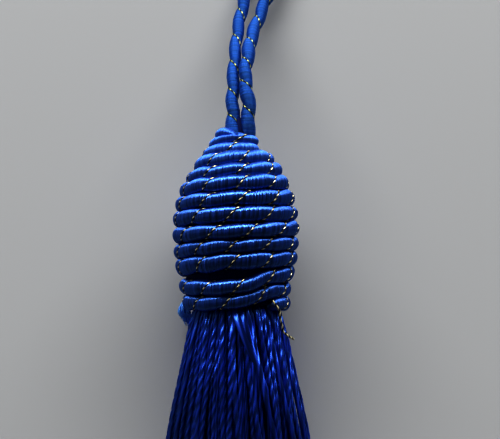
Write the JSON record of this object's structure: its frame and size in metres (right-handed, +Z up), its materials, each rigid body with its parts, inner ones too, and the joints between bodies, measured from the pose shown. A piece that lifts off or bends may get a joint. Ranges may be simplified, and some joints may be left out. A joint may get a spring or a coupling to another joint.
{
  "type": "tassel",
  "caption": "Tassel with a bulbous head of wrapped cord wound as a helix, a fanned skirt of loose strands and a hanging loop.",
  "frame": {"origin": "the flat spot under the head, on the surface that the tassel lies on", "axes": "+Z up from the surface; +Y from the skirt towards the hanging loop; +X to the right, seen from above with the loop away"},
  "size_m": [0.0287, 0.1368, 0.0153],
  "materials": {
    "wrapped_cord": "satin rayon wrapping",
    "skirt_strand": "glossy twisted rayon",
    "metallic_thread": "black thread with gold strip",
    "frayed_fibre": "loose satin fibre"
  },
  "bodies": {
    "root": {"head": "wrapped_cord", "skirt": "skirt_strand", "hanging_loop": "wrapped_cord", "binding_tail": "metallic_thread", "frayed_end": "frayed_fibre"}
  },
  "joints": []
}
